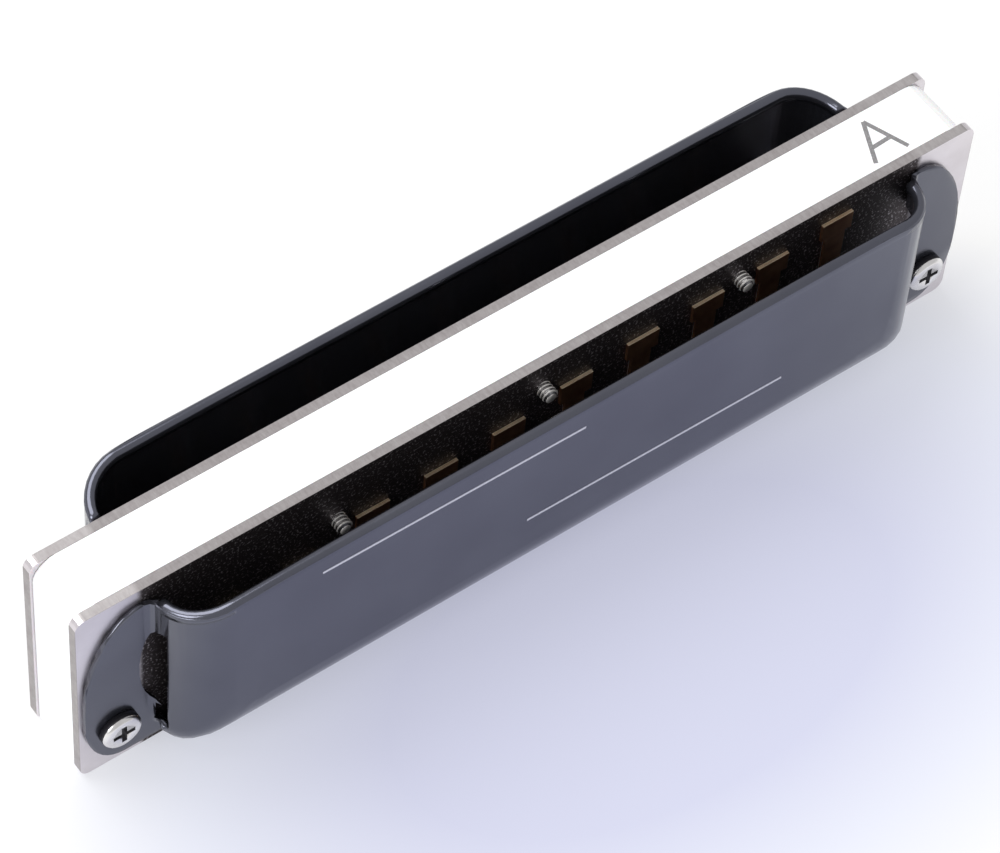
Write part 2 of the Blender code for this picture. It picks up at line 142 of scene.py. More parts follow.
# %% [markdown]
# ## Helpers for materials
# A material is a tree of nodes that ends in a shader. The same few kinds of node come back in every finish,
# so each gets a helper here. A number that is the same all over a surface is written straight onto the
# shader's own socket, and only what varies from place to place comes through nodes.

# %% Materials, nodes and sums
MIX_PLACES = {"FLOAT": (2, 3, 0), "RGBA": (6, 7, 2)}


def new_material(name, constants):
    """A material with its Principled shader, and the shader's constant values set by the socket's name."""
    made = bpy.data.materials.new(name)
    made.use_nodes = True
    tree = made.node_tree
    shader = tree.nodes["Principled BSDF"]
    for socket, value in constants.items():
        shader.inputs[socket].default_value = value
    return made, tree, shader


def add_node(tree, kind, **settings):
    """A node with its settings, such as the operation of a Math node."""
    node = tree.nodes.new(kind)
    for key, value in settings.items():
        setattr(node, key, value)
    return node


def fill(tree, field, value):
    """Links a node's output to the field, or writes a plain number into it."""
    if isinstance(value, bpy.types.NodeSocket):
        tree.links.new(value, field)
    else:
        field.default_value = value


def calculate(tree, operation, *values):
    """A Math node on numbers or on the outputs of other nodes."""
    node = add_node(tree, "ShaderNodeMath", operation=operation)
    for field, value in zip(node.inputs, values):
        fill(tree, field, value)
    return node.outputs[0]


def mix(tree, kind, share, first, second):
    """The first value where the share is 0 and the second where it is 1. The Mix node keeps the two fields
    and the result of each kind, number or colour, in places of their own."""
    node = add_node(tree, "ShaderNodeMix", data_type=kind)
    first_place, second_place, result_place = MIX_PLACES[kind]
    fill(tree, node.inputs[0], share)
    fill(tree, node.inputs[first_place], first)
    fill(tree, node.inputs[second_place], second)
    return node.outputs[result_place]


print("kinds of value that can be mixed:", sorted(MIX_PLACES))

# %% [markdown]
# Brushing, tarnish, dust and wear are all noise, at different sizes and stretched in different ways. The
# noise reads Object coordinates, which for these pieces are real metres, so its scale is a count of cells in
# a metre. At 2000 cells the marks are half a millimetre across, and a lower count draws them out.

# %% Noise, ranges, ramps and bumps
def noise(tree, cells, detail=3.0, roughness=0.5):
    """Noise with so many cells in a metre: one count, or one each for X, Y and Z."""
    place = add_node(tree, "ShaderNodeTexCoord")
    mapping = add_node(tree, "ShaderNodeMapping")
    mapping.inputs["Scale"].default_value = np.broadcast_to(cells, 3).tolist()
    tree.links.new(place.outputs["Object"], mapping.inputs["Vector"])
    node = add_node(tree, "ShaderNodeTexNoise")
    node.inputs["Scale"].default_value = 1.0
    node.inputs["Detail"].default_value = detail
    node.inputs["Roughness"].default_value = roughness
    tree.links.new(mapping.outputs["Vector"], node.inputs["Vector"])
    return node.outputs["Fac"]


def map_range(tree, value, old=(0.0, 1.0), new=(0.0, 1.0)):
    """Maps one range onto another in a straight line, and holds the end values beyond it."""
    node = add_node(tree, "ShaderNodeMapRange")
    node.inputs["From Min"].default_value, node.inputs["From Max"].default_value = old
    node.inputs["To Min"].default_value, node.inputs["To Max"].default_value = new
    tree.links.new(value, node.inputs["Value"])
    return node.outputs["Result"]


def ramp(tree, value, tones):
    """Colours by value: each tone is a place from 0 to 1 and its colour, with a straight run between them."""
    node = add_node(tree, "ShaderNodeValToRGB")
    elements = node.color_ramp.elements
    while len(elements) < len(tones):
        elements.new(0.5)
    for element, (place, colour) in zip(elements, tones):
        element.position = place
        element.color = (*colour, 1.0)
    tree.links.new(value, node.inputs["Fac"])
    return node.outputs["Color"]


def bump(tree, shader, height, strength, millimetres):
    """A relief of the given height that the light sees and the outline doesn't."""
    node = add_node(tree, "ShaderNodeBump")
    node.inputs["Strength"].default_value = strength
    node.inputs["Distance"].default_value = millimetres * MM
    tree.links.new(height, node.inputs["Height"])
    tree.links.new(node.outputs["Normal"], shader.inputs["Normal"])


print("helpers for surfaces:", [helper.__name__ for helper in (noise, map_range, ramp, bump)])

# %% [markdown]
# ## The floor
# The picture is a product shot on a white sweep, with a wide, soft lavender shadow in front of the
# instrument. A plain white plane would catch a dark shadow and would look grey. So the floor has two faces:
# for the light that falls on the object it is pale paper, and for the camera and for mirrors it is partly a
# glow of its own, which keeps the shadow pale. The soft shadow itself is painted: for the camera and for
# mirrors the floor's colour turns a darker lavender in a wide patch in front of the instrument. The dark
# covers mirror this floor, so its colour does half of the work of their metal.

# %% Floor
FLOOR_HALF = 1.6
FLOOR_PAPER = {"Base Color": (0.84, 0.85, 0.90, 1.0), "Roughness": 0.85, "Specular IOR Level": 0.1}
# Painted shadow: a wide patch in front of the instrument where the floor's colour turns a darker lavender.
PAINTED_SHADOW_CENTRE = (0.0, -22.0)
PAINTED_SHADOW_REACH = (78.0, 46.0)
PAINTED_SHADOW_TONES = [(0.15, (1.0, 1.0, 1.0)), (0.40, (0.85, 0.87, 0.97)), (0.66, (0.70, 0.715, 0.88))]
GLOW_SHARE = 0.58
LIT_SHARE = 0.38


def painted_floor_shadow(tree):
    """The floor's painted shadow: 1 minus the distance from its centre, in shares of its reach along X and Y,
    read off the tones, from white outside to a darker lavender in the middle."""
    place = add_node(tree, "ShaderNodeTexCoord")
    mapping = add_node(tree, "ShaderNodeMapping")
    mapping.inputs["Location"].default_value = [-c / r for c, r in zip(PAINTED_SHADOW_CENTRE, PAINTED_SHADOW_REACH)] + [0]
    mapping.inputs["Scale"].default_value = [1 / (r * MM) for r in PAINTED_SHADOW_REACH] + [1]
    tree.links.new(place.outputs["Object"], mapping.inputs["Vector"])
    gradient = add_node(tree, "ShaderNodeTexGradient", gradient_type="SPHERICAL")
    tree.links.new(mapping.outputs["Vector"], gradient.inputs["Vector"])
    return ramp(tree, gradient.outputs["Fac"], PAINTED_SHADOW_TONES)


def floor_material():
    """Paper for the light. For the camera and for mirrors, the painted shadow as a glow plus the painted
    shadow lit by the lamps."""
    made, tree, shader = new_material("floor_paper", FLOOR_PAPER)
    shade = painted_floor_shadow(tree)
    glow = add_node(tree, "ShaderNodeEmission")
    glow.inputs["Strength"].default_value = GLOW_SHARE
    tree.links.new(shade, glow.inputs["Color"])
    dimmed = add_node(tree, "ShaderNodeVectorMath", operation="SCALE")
    dimmed.inputs["Scale"].default_value = LIT_SHARE
    tree.links.new(shade, dimmed.inputs[0])
    lit = add_node(tree, "ShaderNodeBsdfDiffuse")
    tree.links.new(dimmed.outputs["Vector"], lit.inputs["Color"])
    shown = add_node(tree, "ShaderNodeAddShader")
    tree.links.new(glow.outputs[0], shown.inputs[0])
    tree.links.new(lit.outputs[0], shown.inputs[1])
    path = add_node(tree, "ShaderNodeLightPath")
    seen = calculate(tree, "MAXIMUM", path.outputs["Is Camera Ray"], path.outputs["Is Glossy Ray"])
    choice = add_node(tree, "ShaderNodeMixShader")
    tree.links.new(seen, choice.inputs[0])
    tree.links.new(shader.outputs[0], choice.inputs[1])
    tree.links.new(shown.outputs[0], choice.inputs[2])
    tree.links.new(choice.outputs[0], tree.nodes["Material Output"].inputs["Surface"])
    return made


def add_floor():
    """A square at Z = 0, under the mouthpiece edge that the instrument stands on."""
    corners = [(-1, -1), (1, -1), (1, 1), (-1, 1)]
    mesh = bpy.data.meshes.new("floor")
    mesh.from_pydata([(x * FLOOR_HALF, y * FLOOR_HALF, 0) for x, y in corners], [], [(0, 1, 2, 3)])
    mesh.materials.append(floor_material())
    floor = bpy.data.objects.new("floor", mesh)
    bpy.context.scene.collection.objects.link(floor)
    floor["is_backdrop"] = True
    return floor


floor = add_floor()
print("floor side in m:", round(floor.dimensions.x, 2))

# %% [markdown]
# ## The light
# The shadows are soft and short, so the lamps are broad. The stronger one stands above and behind the
# instrument, where it lights the comb's back edge, and a weaker one on the left fills the ends. An even white
# room does the rest. Metal shows what it mirrors more than what lights it, so the room has a level of its own
# for mirrors, and it is plain white to the camera.

# %% Lamps and world
LAMP_TARGET = (0, 0, 0.012)
KEY_PLACE, KEY_SIDE, KEY_WATTS = (-0.25, 0.50, 0.95), 0.9, 9.0
LEFT_PLACE, LEFT_SIDE, LEFT_WATTS = (-0.9, -0.1, 0.55), 0.5, 4.5
ROOM_LIGHT, ROOM_MIRRORED, ROOM_SEEN = 0.55, 0.66, 1.0


def add_lamp(name, place, side, watts):
    """A square lamp, its face turned to the middle of the instrument. Its place and side are in metres."""
    data = bpy.data.lights.new(name, "AREA")
    data.shape = "RECTANGLE"
    data.size = side
    data.size_y = side
    data.energy = watts
    lamp = bpy.data.objects.new(name, data)
    bpy.context.scene.collection.objects.link(lamp)
    aim = Vector(LAMP_TARGET) - Vector(place)
    lamp.matrix_world = Matrix.Translation(place) @ aim.to_track_quat("-Z", "Y").to_matrix().to_4x4()
    return lamp


def set_world():
    """An even white room, with one strength as light, one in mirrors and one to the camera."""
    world = bpy.data.worlds.new("white_room")
    world.use_nodes = True
    tree = world.node_tree
    background = tree.nodes["Background"]
    background.inputs["Color"].default_value = (1, 1, 1, 1)
    path = add_node(tree, "ShaderNodeLightPath")
    unseen = mix(tree, "FLOAT", path.outputs["Is Glossy Ray"], ROOM_LIGHT, ROOM_MIRRORED)
    strength = mix(tree, "FLOAT", path.outputs["Is Camera Ray"], unseen, ROOM_SEEN)
    tree.links.new(strength, background.inputs["Strength"])
    bpy.context.scene.world = world


add_lamp("key_lamp", KEY_PLACE, KEY_SIDE, KEY_WATTS)
add_lamp("left_lamp", LEFT_PLACE, LEFT_SIDE, LEFT_WATTS)
set_world()
bpy.context.scene.view_settings.view_transform = "Standard"
print("lamps in watts:", KEY_WATTS, LEFT_WATTS)

# %% [markdown]
# ## The comb
# The comb is moulded in white plastic. One flat white would look like paper. Moulded plastic has a satin skin
# with a very fine unevenness, and lets a little light in under its surface, so the finish has a fine grain in
# its roughness and relief, and a slight drift between a cool and a warm white. The helper that lays this down
# serves every other finish on the instrument but that of the plates.

# %% White comb plastic
FINISHES = {}


def varied_finish(name, constants, tones, tone_noise, roughness=None, rough_noise=None, relief=None,
                  relief_noise=None):
    """A finish whose colour runs between its tones on one noise. Its roughness may run between two levels on
    another, and its relief is a strength and a height in millimetres, on a noise of its own or on that of the
    roughness. Each noise is a count of cells in a metre, a detail and, where it isn't plain, a roughness."""
    made, tree, shader = new_material(name, constants)
    tree.links.new(ramp(tree, noise(tree, *tone_noise), tones), shader.inputs["Base Color"])
    if roughness:
        worn = noise(tree, *rough_noise)
        tree.links.new(map_range(tree, worn, new=roughness), shader.inputs["Roughness"])
        raised = noise(tree, *relief_noise) if relief_noise else worn
        bump(tree, shader, raised, *relief)
    return made


def comb_plastic():
    """Moulded white plastic: a satin unevenness and a very slight warm and cool drift."""
    return varied_finish(
        "comb_plastic",
        {"Specular IOR Level": 0.45, "Subsurface Weight": 0.08, "Subsurface Scale": 0.001},
        tones=[(0.3, (0.93, 0.93, 0.935)), (0.7, (0.955, 0.95, 0.945))],
        tone_noise=(60.0, 2.0),
        roughness=(0.30, 0.46),
        rough_noise=(2600.0, 3.0),
        relief=(0.12, 0.03))


FINISHES["comb_plastic"] = comb_plastic()
print("finishes so far:", sorted(FINISHES))

# %% [markdown]
# ## The reed plates
# Each plate is a sheet of nickel silver with three looks. Its faces are brushed along the length, with a
# cloudy tarnish. Its back and end edges are sheared, darker and rougher. Between the ends of the covers it is
# rougher, and a painted shade makes its colour nearly black, as the shade under the covers, with lighter
# grains of dust. Three materials on cut-up faces would show a seam at each change, so one material tells the
# regions apart by the coordinates.

# %% Regions of a plate
SHEARED_DEPTH = 0.03
COVERED_HALF_WIDTH = 43.8
COVERED_FADE = 0.6


def beyond(tree, coordinate, limit):
    """1 where a coordinate lies further than the limit, in metres, from the middle, and 0 elsewhere."""
    return calculate(tree, "GREATER_THAN", calculate(tree, "ABSOLUTE", coordinate), limit)


def sheared_region(tree, axes):
    """1 on the back and end edges: the last hundredths of a millimetre of the plate along Z and along X."""
    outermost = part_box("draw_reed_plate")[1]
    back = beyond(tree, axes.outputs["Z"], outermost.z - SHEARED_DEPTH * MM)
    end = beyond(tree, axes.outputs["X"], outermost.x - SHEARED_DEPTH * MM)
    return calculate(tree, "MAXIMUM", back, end)


def covered_region(tree, axes):
    """1 between the ends of a cover and 0 beyond them, with a short fade: where the painted shade and the
    dust lie.
    """
    reach = calculate(tree, "ABSOLUTE", axes.outputs["X"])
    return map_range(tree, reach, old=(COVERED_HALF_WIDTH * MM, (COVERED_HALF_WIDTH - COVERED_FADE) * MM))


print("covered length in mm:", 2 * COVERED_HALF_WIDTH)

# %% Plate metal
FACE_TONES = [(0.25, (0.64, 0.60, 0.62)), (0.75, (0.76, 0.72, 0.75))]
SHEARED_TONES = [(0.25, (0.345, 0.320, 0.322)), (0.75, (0.45, 0.43, 0.43))]
# Under the covers: a painted shade, nearly black, with lighter grains of dust.
DUST_AND_SHADE_TONES = [(0.57, (0.060, 0.050, 0.052)), (0.66, (0.46, 0.43, 0.45))]
TARNISH_NOISE = (180.0, 4.0, 0.6)
BRUSHED_NOISE = ((60.0, 2200.0, 2200.0), 4.0, 0.6)
SHEAR_MARK_NOISE = ((3200.0, 900.0, 900.0), 3.0, 0.7)
DUST_NOISE = (3600.0, 2.0, 0.6)
BRUSHED_ROUGHNESS = (0.22, 0.44)
COVERED_ROUGHER = 0.26
SHEARED_ROUGHER = 0.22
BRUSHED_RELIEF = (0.15, 0.02)


def plate_metal():
    """The brushed face, with painted shade and grains of dust over the covered region, and marked by the
    shear over the sheared one. Each of the two regions adds its own amount to the roughness."""
    made, tree, shader = new_material("plate_metal", {"Metallic": 1.0})
    place = add_node(tree, "ShaderNodeTexCoord")
    axes = add_node(tree, "ShaderNodeSeparateXYZ")
    tree.links.new(place.outputs["Object"], axes.inputs[0])
    sheared = sheared_region(tree, axes)
    covered = covered_region(tree, axes)
    face = ramp(tree, noise(tree, *TARNISH_NOISE), FACE_TONES)
    dust_and_shade = ramp(tree, noise(tree, *DUST_NOISE), DUST_AND_SHADE_TONES)
    edge = ramp(tree, noise(tree, *SHEAR_MARK_NOISE), SHEARED_TONES)
    colour = mix(tree, "RGBA", sheared, mix(tree, "RGBA", covered, face, dust_and_shade), edge)
    tree.links.new(colour, shader.inputs["Base Color"])
    brushed = noise(tree, *BRUSHED_NOISE)
    rough = map_range(tree, brushed, new=BRUSHED_ROUGHNESS)
    rough = calculate(tree, "MULTIPLY_ADD", covered, COVERED_ROUGHER, rough)
    rough = calculate(tree, "MULTIPLY_ADD", sheared, SHEARED_ROUGHER, rough)
    tree.links.new(rough, shader.inputs["Roughness"])
    bump(tree, shader, brushed, *BRUSHED_RELIEF)
    return made


FINISHES["reed_plate"] = plate_metal()
print("finishes so far:", sorted(FINISHES))

# %% [markdown]
# ## Bronze, covers and steel
# The reeds are strips of bronze, ground across their width and bloomed to a brown, with brighter ends where
# they were cut; those ends face the lamp above, and they are painted brighter still, as a highlight. The
# covers are pressed steel with a gunmetal coat: nearly a mirror, softened by a fine orange-peel and by rubbed
# patches. The screws are bright plated steel, turned. All three are metals, and what tells them apart is
# colour, roughness and the direction of their marks, so each is one call of the same helper.

# %% Reed bronze, bloomed, and cut ends with a painted highlight
def reed_metal(name, dark, bright):
    """Bronze with fine grinding marks across the strip, its colour drifting between two tones."""
    return varied_finish(
        name,
        {"Metallic": 1.0},
        tones=[(0.3, dark), (0.7, bright)],
        tone_noise=(420.0, 3.0),
        roughness=(0.24, 0.48),
        rough_noise=((900.0, 400.0, 3500.0), 3.0, 0.6),
        relief=(0.2, 0.02))


FINISHES["reed_bronze"] = reed_metal("reed_bronze", (0.56, 0.28, 0.16), (0.76, 0.43, 0.25))
# The cut ends face the lamp above: cut metal with a painted highlight, a bronze near white.
cut_end_highlight_finish = reed_metal("reed_end_painted_highlight", (1.00, 0.78, 0.52), (1.00, 0.88, 0.66))
print("finishes so far:", sorted(FINISHES))

# %% Dark cover coating
def cover_coat():
    """Gunmetal coat on pressed steel. A small share of it isn't metallic: a plain dark pigment, which keeps
    the inside from going fully black."""
    return varied_finish(
        "cover_coat",
        {"Metallic": 0.88},
        tones=[(0.3, (0.100, 0.103, 0.130)), (0.7, (0.122, 0.126, 0.154))],
        tone_noise=(90.0, 3.0),
        roughness=(0.14, 0.26),
        rough_noise=(240.0, 4.0, 0.6),
        relief=(0.08, 0.02),
        relief_noise=(1500.0, 2.0))


FINISHES["cover_coating"] = cover_coat()
print("finishes so far:", sorted(FINISHES))

# %% Screw steel
def screw_metal():
    """Bright plated steel, with turning marks that follow one another closely along the screw's axis."""
    return varied_finish(
        "screw_metal",
        {"Metallic": 1.0},
        tones=[(0.3, (0.68, 0.66, 0.66)), (0.7, (0.84, 0.83, 0.83))],
        tone_noise=(700.0, 3.0),
        roughness=(0.16, 0.34),
        rough_noise=((500.0, 5000.0, 500.0), 3.0),
        relief=(0.15, 0.02))


FINISHES["screw_steel"] = screw_metal()
print("finishes so far:", sorted(FINISHES))

# %% Give each carried-over piece its finish
SLOT_OF = {part["node"]: part["material_slot"] for part in frame["record"]["subparts"]}

for node_name, node in NODES.items():
    node.data.materials.clear()
    node.data.materials.append(FINISHES[SLOT_OF[node_name]])
print("pieces with a finish:", len(NODES))

# %% [markdown]
# ## New pieces
# What is too fine for the solids becomes a piece of its own: a mesh worked out as arrays of points, linked to
# the scene, made to ride on the instrument's one still body, and given the slot whose finish it shares. A
# piece may also stand for a solid, which is then hidden.

# %% Meshes and pieces
def mesh_from(name, points, faces, *finishes):
    """A mesh from points in millimetres and faces that count them."""
    mesh = bpy.data.meshes.new(name)
    mesh.from_pydata((np.asarray(points) * MM).tolist(), [], faces)
    for finish in finishes:
        mesh.materials.append(finish)
    return mesh


def add_piece(name, mesh, replaced=None):
    """Links the mesh as a piece of the instrument. replaced names the solid that it stands for, if any."""
    piece = bpy.data.objects.new(name, mesh)
    bpy.context.scene.collection.objects.link(piece)
    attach(piece, BODY)
    if replaced:
        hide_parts(replaced)
    return piece


def joined(parts):
    """Several pairs of points and faces as one: each part's faces count on from the points before it."""
    all_points, all_faces = [], []
    before = 0
    for points, faces in parts:
        all_points.append(points)
        all_faces += [[before + corner for corner in face] for face in faces]
        before += len(points)
    return np.vstack(all_points), all_faces


print("still body:", BODY)

# %% [markdown]
# ## Marks
# Two thin etched lines cross the near cover, and the comb's back carries the key letter near the low end. A
# mark could be painted by a texture, but its edge would then be only as sharp as the texture. As thin slabs,
# 0.02 mm high, they stay crisp close up, and they are enough for the light to catch and too little to feel.

# %% Strokes as thin slabs
def stroke(start, end, width, across, normal, height):
    """A slab from start to end. Its eight corners are start and end, plus or minus across times half the
    width, plus or minus normal times the height, so that half of it is sunk into the surface."""
    start, end, across, normal = (np.asarray(v, float) for v in (start, end, across, normal))
    side = across * width / 2
    base = np.array([start - side, start + side, end + side, end - side])
    points = np.vstack([base - normal * height, base + normal * height])
    faces = [(0, 1, 2, 3), (7, 6, 5, 4), (0, 4, 5, 1), (1, 5, 6, 2), (2, 6, 7, 3), (3, 7, 4, 0)]
    if np.dot(np.cross(base[1] - base[0], base[2] - base[1]), normal) > 0:
        faces = [face[::-1] for face in faces]
    return points, faces


GRAIN_DARKER = 0.85


def grained_metal(name, colour, roughness):
    """Metal with a fine grain between the colour and a darker tone of it."""
    darker = tuple(GRAIN_DARKER * channel for channel in colour)
    return varied_finish(
        name,
        {"Metallic": 0.6, "Roughness": roughness},
        tones=[(0.3, darker), (0.7, colour)],
        tone_noise=(3000.0, 2.0))


line_finish = grained_metal("etched_line", (0.74, 0.74, 0.80), 0.45)
print("finish of the lines:", line_finish.name)

# %% Lines on the near cover
HEM_STANDS_OUT = 0.02
COVER_FACE_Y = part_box("draw_cover")[0].y / MM + HEM_STANDS_OUT
LINE_WIDTH = 0.30
LINE_HEIGHT = 0.02
LINE_ENDS = {"cover_line_upper": ((-28.16, 22.14), (0.54, 21.73)),
             "cover_line_lower": ((-5.32, 11.67), (24.16, 11.32))}

for line_name, ((start_x, start_z), (end_x, end_z)) in LINE_ENDS.items():
    points, faces = stroke((start_x, COVER_FACE_Y, start_z), (end_x, COVER_FACE_Y, end_z), LINE_WIDTH,
                           (0, 0, 1), (0, -1, 0), LINE_HEIGHT)
    add_piece(line_name, mesh_from(line_name, points, faces, line_finish))
print("lines on the cover:", len(LINE_ENDS))

# %% Key letter on the comb's back
LETTER_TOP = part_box("comb")[1].z / MM
LETTER_APEX = (41.55, 2.07)
LETTER_LEG_ENDS = ((43.34, -2.52), (39.48, -2.49))
LETTER_BAR = ((40.25, -0.86), (42.62, -0.73))
LETTER_WIDTH = 0.44
LETTER_HEIGHTS = (0.020, 0.022, 0.024)
LETTER_TONES = [(0.45, (0.20, 0.195, 0.20)), (0.72, (0.30, 0.2925, 0.30))]


def letter_strokes():
    """Two legs from the apex and a bar between them, each a thin slab of its own height, so that no two of
    their upper faces lie in one plane. A stroke's across is its own direction turned by a right angle."""
    lines = [(LETTER_APEX, leg_end) for leg_end in LETTER_LEG_ENDS] + [LETTER_BAR]
    slabs = []
    for (start, end), height in zip(lines, LETTER_HEIGHTS):
        along = np.subtract(end, start)
        across = np.array([-along[1], along[0], 0.0]) / np.linalg.norm(along)
        ends = (*start, LETTER_TOP), (*end, LETTER_TOP)
        slabs.append(stroke(*ends, LETTER_WIDTH, across, (0, 0, 1), height))
    return joined(slabs)


LETTER_NOISE = (4200.0, 3.0, 0.7)
letter_ink = varied_finish("letter_grey", {"Roughness": 0.6}, LETTER_TONES, LETTER_NOISE)
add_piece("key_letter", mesh_from("key_letter", *letter_strokes(), letter_ink))
print("strokes of the letter:", len(LETTER_HEIGHTS))

# %% [markdown]
# ## Reed heels
# At its root each reed is two layers of bronze: the reed's own strip and a pad on it. Their cut ends face the
# lamp above, and they are painted near white: brighter cut metal with a painted highlight. Their outer faces
# have bloomed to a brown that mirrors the inside of the cover. A bevelled box would round both layers into
# one. Here one section with rounded corners is carried across the reed's width, once for each layer and once
# for the core that shows in the fine groove between them.

# %% Section and sweep of a layer
CORNER = 0.03
CORNER_STEPS = 4


def rounded_section(low, high):
    """The outline of a rectangle in Y and Z: at each corner, the corner's centre plus the corner radius times
    the cosine and sine of an angle that runs through a quarter turn."""
    centres = np.array([[high[0], high[1]], [low[0], high[1]], [low[0], low[1]], [high[0], low[1]]])
    inward = CORNER * np.array([[-1, -1], [1, -1], [1, 1], [-1, 1]])
    angle = np.linspace(0, np.pi / 2, CORNER_STEPS + 1)[None, :] + np.arange(4)[:, None] * np.pi / 2
    outline = (centres + inward)[:, None, :] + CORNER * np.stack([np.cos(angle), np.sin(angle)], -1)
    return outline.reshape(-1, 2)


def carried_across(section, x_low, x_high):
    """A section in Y and Z carried along X and closed at both ends. Over the last corner radius it is drawn
    in by radius times (1 - sine), while it moves along by radius times (1 - cosine)."""
    turn = np.linspace(0, np.pi / 2, CORNER_STEPS + 1)
    inset = CORNER * (1 - np.sin(turn))
    place = x_low + CORNER * (1 - np.cos(turn))
    places = np.concatenate([place, x_high + x_low - place[::-1]])
    insets = np.concatenate([inset, inset[::-1]])
    middle = section.mean(0)
    half = np.abs(section - middle).max(0)
    factor = 1 - insets[:, None] / half[None, :]
    rings = middle + (section - middle)[None] * factor[:, None, :]
    count = len(section)
    points = np.column_stack([np.repeat(places, count), rings.reshape(-1, 2)])
    ring = np.arange(count)
    after = (ring + 1) % count
    level = np.arange(len(places) - 1)[:, None] * count
    quads = np.stack([level + ring, level + after, level + count + after, level + count + ring], -1)
    last = (len(places) - 1) * count
    return points, quads.reshape(-1, 4).tolist() + [ring[::-1].tolist(), (last + ring).tolist()]


print("corner radius of a layer in mm:", CORNER)

# %% [markdown]
# The row of heels slants, and in the reference view the cover's rim hides the last two of the draw side. So
# each heel of the draw reeds ends a little short of its plain solid, and those two by more.

# %% Layered heels
HEEL_THICKNESS = 0.36
STRIP_SHARE = 0.45
GROOVE = 0.03
DRAW_HEEL_TRIMS = (0.7, 0.7, 0.7, 0.55, 0.4, 0.3, 0.25, 0.3, 2.4, 2.4)
CUT_END_FACING = 0.6


def layered_heel(low, high):
    """The reed's strip, then the groove, then the pad, from the plate's face outwards along -Y. The core
    overlaps both layers by the corner radius and stays behind their edges by as much."""
    split = high[1] - STRIP_SHARE * HEEL_THICKNESS
    above, below = split + GROOVE / 2, split - GROOVE / 2
    strip = (above, high[1], 0.0)
    pad = (high[1] - HEEL_THICKNESS, below, 0.0)
    core = (below - CORNER, above + CORNER, CORNER)
    layers = []
    for y_low, y_high, behind in (strip, pad, core):
        section = rounded_section((y_low, low[2] + behind), (y_high, high[2] - behind))
        layers.append(carried_across(section, low[0] + behind, high[0] - behind))
    return joined(layers)


def add_heel(side_name, hole):
    """One reed's heel, in bloomed bronze. The faces that point up, to the open back and the lamp above, are
    its cut ends, in the finish with a painted highlight.
    """
    replaced = f"{side_name}_reed_heel_{hole}"
    low, high = (np.array(corner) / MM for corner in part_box(replaced))
    if side_name == "draw":
        high[2] -= DRAW_HEEL_TRIMS[hole - 1]
    name = f"{side_name}_heel_layers_{hole}"
    mesh = mesh_from(name, *layered_heel(low, high), FINISHES["reed_bronze"], cut_end_highlight_finish)
    facing = np.array([face.normal[2] for face in mesh.polygons])
    mesh.polygons.foreach_set("material_index", (facing > CUT_END_FACING).astype(np.int32))
    return add_piece(name, mesh, replaced)


heels = [add_heel(side_name, hole) for side_name in ("draw", "blow") for hole in range(1, 11)]
print("layered heels:", len(heels))

# %% [markdown]
# ## Threads
# The three reed plate screws come through the draw plate, and their threads show in front of the dark inside
# of the cover. The Screw modifier could turn a profile into a thread, but it leaves the ends open. Here a
# thread is a rod whose radius also depends on the angle, which makes the helix and keeps the ends closed.

# %% Threaded screw ends
PITCH = 0.40
THREAD_DEPTH = 0.20
SCREW_RADIUS = 0.82
TIP_SHARE = 1 / 8
TIP_DRAWN_IN = 0.18
THREAD_SIDES = 48
THREAD_RINGS = 90
STANDS_PROUD = 0.02
SUNK = 0.2
PLATE_FACE_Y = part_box("draw_reed_plate")[0].y / MM
thread_finish = grained_metal("screw_thread_steel", (0.93, 0.90, 0.87), 0.32)


def thread_surface(x, z, y_low, y_high):
    """A rod along Y on a grid of angle and height. Its radius falls by the thread's depth times a triangle
    wave of (height / pitch - angle / turn), is drawn in over the tip, and closes on the axis at both ends."""
    angle = np.linspace(0, 2 * np.pi, THREAD_SIDES, endpoint=False)
    turn, along = np.meshgrid(angle, np.linspace(0, 1, THREAD_RINGS))
    height = y_low + (y_high - y_low) * along
    phase = (height / PITCH - turn / (2 * np.pi)) % 1.0
    depth = THREAD_DEPTH * np.abs(2 * phase - 1)
    past_tip = np.clip(along / TIP_SHARE, 0, 1)
    radius = SCREW_RADIUS - depth - TIP_DRAWN_IN * (1 - past_tip)
    rod = np.stack([x + radius * np.cos(turn), height, z + radius * np.sin(turn)], -1).reshape(-1, 3)
    points = np.vstack([rod, [[x, y_low, z], [x, y_high, z]]])
    ring = np.arange(THREAD_SIDES)
    after = (ring + 1) % THREAD_SIDES
    level = np.arange(THREAD_RINGS - 1)[:, None] * THREAD_SIDES
    above = level + THREAD_SIDES
    quads = np.stack([level + ring, above + ring, above + after, level + after], -1).reshape(-1, 4)
    top = len(rod) - THREAD_SIDES
    first_cap = np.column_stack([np.full(THREAD_SIDES, len(rod)), ring, after])
    last_cap = np.column_stack([np.full(THREAD_SIDES, len(rod) + 1), top + after, top + ring])
    return points, quads.tolist() + first_cap.tolist() + last_cap.tolist()


def add_thread(number):
    """The thread's rod stands just proud of the plain screw's end, and reaches a little into the plate."""
    low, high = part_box(f"plate_screw_{number}")
    centre = (low + high) / 2 / MM
    points, faces = thread_surface(centre.x, centre.z, low.y / MM - STANDS_PROUD, PLATE_FACE_Y + SUNK)
    name = f"screw_thread_{number}"
    mesh = mesh_from(name, points, faces, thread_finish)
    mesh.shade_smooth()
    return add_piece(name, mesh)


threads = [add_thread(number) for number in (1, 2, 3)]
print("threaded ends:", len(threads))

# %% [markdown]
# ## Cover corners
# The press that drew the covers has tighter front corners than the solids show. A carried-over mesh is never
# changed, so each cover becomes a merged copy of its solid, and the points near a front corner are moved
# outwards. In plan the round of the corner turns from a wide into a narrow one, and the walls beside it stay
# where they are. Modelling the cover again would mean making its hem, ears and vents anew, which fit already.

# %% Merged copies of solids
MERGE_DISTANCE = 0.001
SHARP_DEGREES = 38


